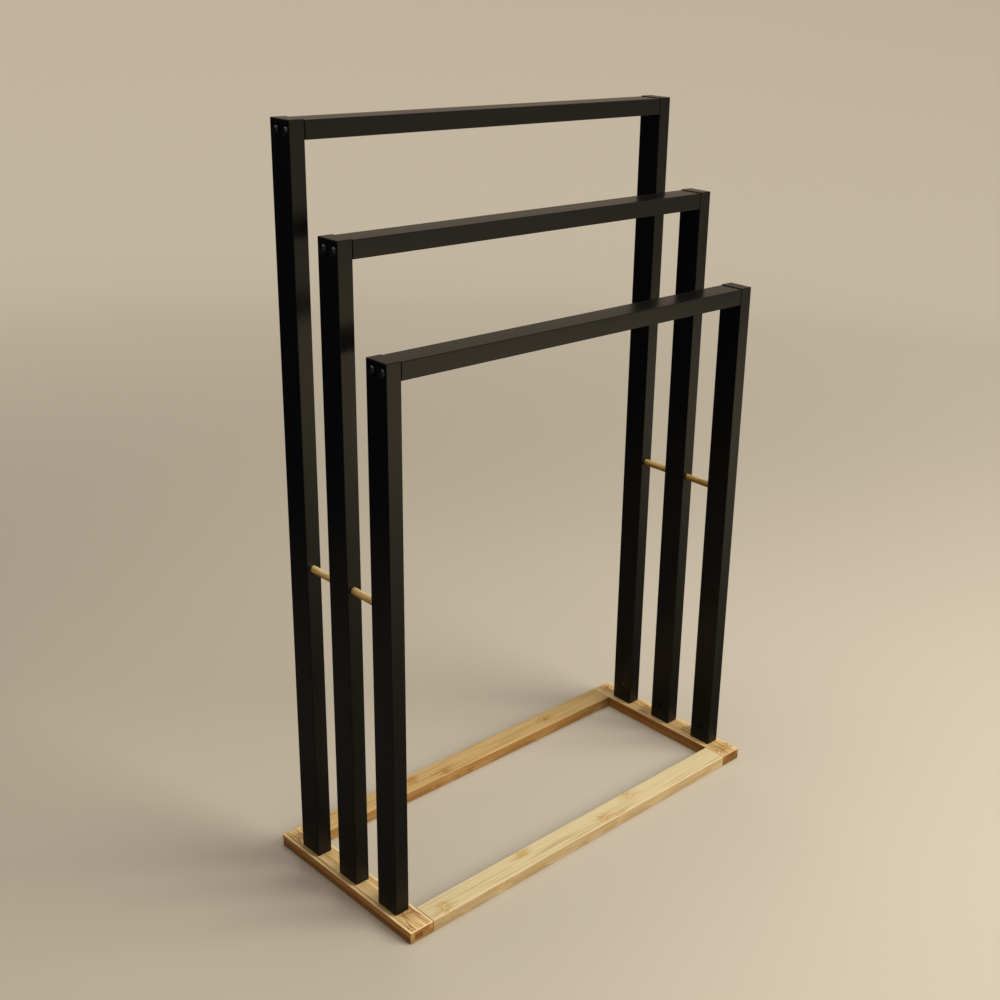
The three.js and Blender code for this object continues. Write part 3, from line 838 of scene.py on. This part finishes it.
# %% Holes in the legs
SIDES = {"left": -1, "right": 1}
TIERS = ("front", "middle", "back")
ROUND = 48  # facets round a turned shape
SCREW_DRILL = [(0.00565, -0.001, 0.0), (0.00525, 0.0004, 0.0042), (0.0031, 0.0042, 0.025)]
NUT_MOUTH, NUT_RADIUS = (0.0057, -0.001, 0.0), 0.0053
NUT_BACKING = 0.003  # wood left behind the barrel nut
BOLT_DRILL = [(0.0033, -0.001, 0.0397)]
SOCKET_DRILL = [(0.00575, -0.001, 0.003), (0.00505, 0.003, 0.012)]
FRAME_GAP = 0.047  # free space between neighbouring frames


def bore(steps):
    """A closed turned cutter along +Z from (radius, from, to) steps of one drill."""
    outline = [(0, steps[0][1])]
    for radius, start, stop in steps:
        outline += [(radius, start), (radius, stop)]
    outline.append((0, steps[-1][2]))
    return spun(outline, ROUND)


def screw_holes(tier, side, face, sign, steps):
    """The two screw holes at one end of a crossbar, drilled inwards from x = face."""
    holes = []
    for number in (1, 2):
        axis = middle(f"crossbar_screw_{tier}_{side}_{number}")
        holes.append(aimed(bore(steps), (-sign, 0, 0), (face, axis.y, axis.z)))
    return holes


def leg_holes(tier, side):
    """Every hole of one leg, each in its place."""
    sign = SIDES[side]
    low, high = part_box(f"leg_{tier}_{side}")
    inner, outer = (low.x, high.x) if sign > 0 else (high.x, low.x)
    holes = screw_holes(tier, side, outer, sign, SCREW_DRILL)
    nut = middle(f"barrel_nut_{tier}_{side}")
    depth = high.x - low.x - NUT_BACKING
    nut_drill = [NUT_MOUTH, (NUT_RADIUS, 0.0004, depth)]
    holes.append(aimed(bore(nut_drill), (sign, 0, 0), (inner, nut.y, nut.z)))
    holes.append(aimed(bore(BOLT_DRILL), (0, 0, 1), (nut.x, nut.y, low.z)))
    for row in ("front", "back"):
        spindle = middle(f"spindle_{row}_{side}")
        for face, way in ((high.y, -1), (low.y, 1)):
            if abs(spindle.y - face) < FRAME_GAP:
                start = (spindle.x, face, spindle.z)
                holes.append(aimed(bore(SOCKET_DRILL), (0, way, 0), start))
    return holes


print("a spindle's socket is", SOCKET_DRILL[-1][2], "m deep")

# %% [markdown]
# ## The six legs
# A leg is a flat batten with eased edges: a cube, scaled to the size of its CAD part, bevelled,
# and drilled. The bevel has three segments, because an eased edge is seen by the thin line of
# light it catches, and one flat facet would catch it all at once or not at all.

# %% The six legs
LEG_EASE = 0.001
for tier in TIERS:
    for side in SIDES:
        node = f"leg_{tier}_{side}"
        leg = finish_piece(
            f"lacquered_{node}", eased_block(node, LEG_EASE), lacquer_legs,
            node, leg_holes(tier, side),
        )
        print(leg.name, len(leg.data.polygons), "faces")

# %% [markdown]
# ## Crossbars
# Each bar butts between its two legs, a shade below their tops, with well eased edges, so a
# narrow groove marks every joint. Towels slide over these edges, so they are eased a little
# more than the legs'. The ends have pilot bores for the screws, cut by the same helper as the
# holes in the legs.

# %% The three crossbars
BAR_EASE = 0.0012
PILOT_DRILL = [(0.0031, -0.001, 0.032)]
for tier in TIERS:
    node = f"crossbar_{tier}"
    low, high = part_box(node)
    pilots = screw_holes(tier, "left", low.x, SIDES["left"], PILOT_DRILL)
    pilots += screw_holes(tier, "right", high.x, SIDES["right"], PILOT_DRILL)
    bar = finish_piece(
        f"lacquered_{node}", eased_block(node, BAR_EASE), lacquer_bars,
        node, pilots,
    )
    print(bar.name, len(bar.data.polygons), "faces")

# %% [markdown]
# ## Crossbar screws
# The rack comes flat and goes together with keyed hardware. A screw is a turned piece, so it is
# an outline spun about its own axis: a flat middle, a domed rim and a countersunk neck. The
# key's socket is cut afterwards. The threads are inside the wood and are left out.

# %% Crossbar screws
KEY = 0.004  # across the flats of every key socket
SCREW_KEY_DEPTH = 0.0024
SCREW_HEAD = [  # (radius, distance from the head's face)
    (0, 0), (0.0024, 0), (0.0034, 0.0002), (0.0041, 0.0006), (0.0046, 0.0012), (0.00475, 0.0018),
    (0.0028, 0.0031),
]
SCREW_SHANK, SCREW_POINT, SCREW_TAPER = 0.0028, 0.0014, 0.004


def prism(across_flats, depth):
    """A six-sided cutter for a key socket, sunk from z = 0."""
    bm = bmesh.new()
    radius = across_flats / math.sqrt(3)
    bmesh.ops.create_cone(
        bm, cap_ends=True, segments=6, radius1=radius, radius2=radius, depth=depth + 0.002,
    )
    bmesh.ops.translate(bm, vec=(0, 0, (depth - 0.002) / 2), verts=bm.verts)
    return bm


def turned_piece(node, outline, way, start, metal, cutters):
    """A turned metal piece: an outline spun, aimed along its axis, and cut."""
    shape = aimed(spun(outline, ROUND), way, start)
    return finish_piece(f"turned_{node}", shape, metal, node, cutters)


for tier in TIERS:
    for side, sign in SIDES.items():
        for number in (1, 2):
            node = f"crossbar_screw_{tier}_{side}_{number}"
            low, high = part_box(node)
            axis, length, way = middle(node), high.x - low.x, (-sign, 0, 0)
            head = Vector((high.x if sign > 0 else low.x, axis.y, axis.z))
            shank = [(SCREW_SHANK, length - SCREW_TAPER), (SCREW_POINT, length), (0, length)]
            key = aimed(prism(KEY, SCREW_KEY_DEPTH), way, head)
            screw = turned_piece(node, SCREW_HEAD + shank, way, head, screw_steel, [key])
print("crossbar screws:", len(TIERS) * len(SIDES) * 2, "of", len(screw.data.polygons), "faces")

# %% [markdown]
# ## Barrel nuts
# A barrel nut is a short steel rod that lies across the leg, with a threaded hole through its
# side for the bolt from below. Its end has a slot, so that a screwdriver can turn the hole
# towards the bolt. It is a chamfered turning with the slot and the hole cut out.

# %% Barrel nuts
NUT_END, NUT_BODY, NUT_CHAMFER = 0.0044, 0.005, 0.0006
NUT_SLOT_WIDTH, NUT_SLOT_DEPTH = 0.0014, 0.0016
NUT_HOLE = [(0.0033, -0.01, 0.01)]


def slot_block(width, depth):
    """A cutter for a screwdriver slot across the end at z = 0."""
    bm = bmesh.new()
    bmesh.ops.create_cube(bm, size=1)
    bmesh.ops.scale(bm, vec=(0.02, width, 2 * depth), verts=bm.verts)
    return bm


for tier in TIERS:
    for side, sign in SIDES.items():
        node = f"barrel_nut_{tier}_{side}"
        low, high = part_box(node)
        axis, length, way = middle(node), high.x - low.x, (sign, 0, 0)
        start = Vector((low.x if sign > 0 else high.x, axis.y, axis.z))
        outline = [
            (0, 0), (NUT_END, 0), (NUT_BODY, NUT_CHAMFER),
            (NUT_BODY, length - NUT_CHAMFER), (NUT_END, length), (0, length),
        ]
        bolt = middle(f"base_bolt_{tier}_{side}")
        slot = aimed(slot_block(NUT_SLOT_WIDTH, NUT_SLOT_DEPTH), way, start)
        hole = aimed(bore(NUT_HOLE), (0, 0, 1), (bolt.x, bolt.y, axis.z))
        nut = turned_piece(node, outline, way, start, steel, [slot, hole])
print("barrel nuts:", len(TIERS) * len(SIDES), "of", len(nut.data.polygons), "faces")

# %% [markdown]
# ## Base bolts
# A bolt comes up through the end rail into the barrel nut and pulls the leg down on the base.
# Its flat head lies in a counterbore underneath, so that the rack stands on wood and not on
# steel. Only someone who turns the rack over sees it, but it is made like the screws.

# %% Base bolts
BOLT_HEAD, BOLT_HEAD_HEIGHT, BOLT_EASE, BOLT_SHANK = 0.006, 0.0027, 0.0006, 0.003
BOLT_KEY_DEPTH = 0.002
for tier in TIERS:
    for side in SIDES:
        node = f"base_bolt_{tier}_{side}"
        low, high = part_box(node)
        axis, length, way = middle(node), high.z - low.z, (0, 0, 1)
        foot = Vector((axis.x, axis.y, low.z))
        outline = [
            (0, 0), (BOLT_HEAD - BOLT_EASE, 0), (BOLT_HEAD, BOLT_EASE),
            (BOLT_HEAD, BOLT_HEAD_HEIGHT), (BOLT_SHANK, BOLT_HEAD_HEIGHT),
            (BOLT_SHANK, length), (0, length),
        ]
        key = aimed(prism(KEY, BOLT_KEY_DEPTH), way, foot)
        bolt = turned_piece(node, outline, way, foot, steel, [key])
print("base bolts:", len(TIERS) * len(SIDES), "of", len(bolt.data.polygons), "faces")

# %% [markdown]
# ## Spindles
# Four short dowels tie the frames together half way up, each end in a blind socket whose wider
# mouth leaves a dark ring round it. A cylinder would do, but the spun outline also gives the
# small chamfer that lets a dowel find its hole.

# %% The four spindles
DOWEL_CHAMFER = 0.0008
for row in ("front", "back"):
    for side in SIDES:
        node = f"spindle_{row}_{side}"
        low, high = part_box(node)
        axis, length, radius = middle(node), high.y - low.y, (high.z - low.z) / 2
        outline = [
            (0, 0), (radius - DOWEL_CHAMFER, 0), (radius, DOWEL_CHAMFER),
            (radius, length - DOWEL_CHAMFER), (radius - DOWEL_CHAMFER, length), (0, length),
        ]
        shape = aimed(spun(outline, ROUND), (0, 1, 0), Vector((axis.x, low.y, axis.z)))
        rod = finish_piece(f"turned_{node}", shape, dowel, node)
        print(rod.name, round(length, 4), "m long")

# %% [markdown]
# ## The base
# Two end rails run the full depth and two long rails butt between them. Underneath, each end
# rail has three counterbored holes for the bolts that hold the legs. The rails are blocks like
# the legs, and only their woods differ.

# %% The four rails
RAIL_EASE = 0.001
COUNTERBORE = [(0.0065, -0.001, 0.005), (0.0033, 0.005, 0.018)]


def rail(node, wood, holes=()):
    """One rail of the base in its own wood."""
    block = eased_block(node, RAIL_EASE)
    piece = finish_piece(f"bamboo_{node}", block, wood, node, holes)
    print(piece.name, len(piece.data.polygons), "faces")


for side, wood in (("left", bamboo_left), ("right", bamboo_right)):
    bolts = [middle(f"base_bolt_{tier}_{side}") for tier in TIERS]
    holes = [aimed(bore(COUNTERBORE), (0, 0, 1), (bolt.x, bolt.y, 0)) for bolt in bolts]
    rail(f"base_end_rail_{side}", wood, holes)
for row, wood in (("front", bamboo_front), ("back", bamboo_back)):
    rail(f"base_long_rail_{row}", wood)
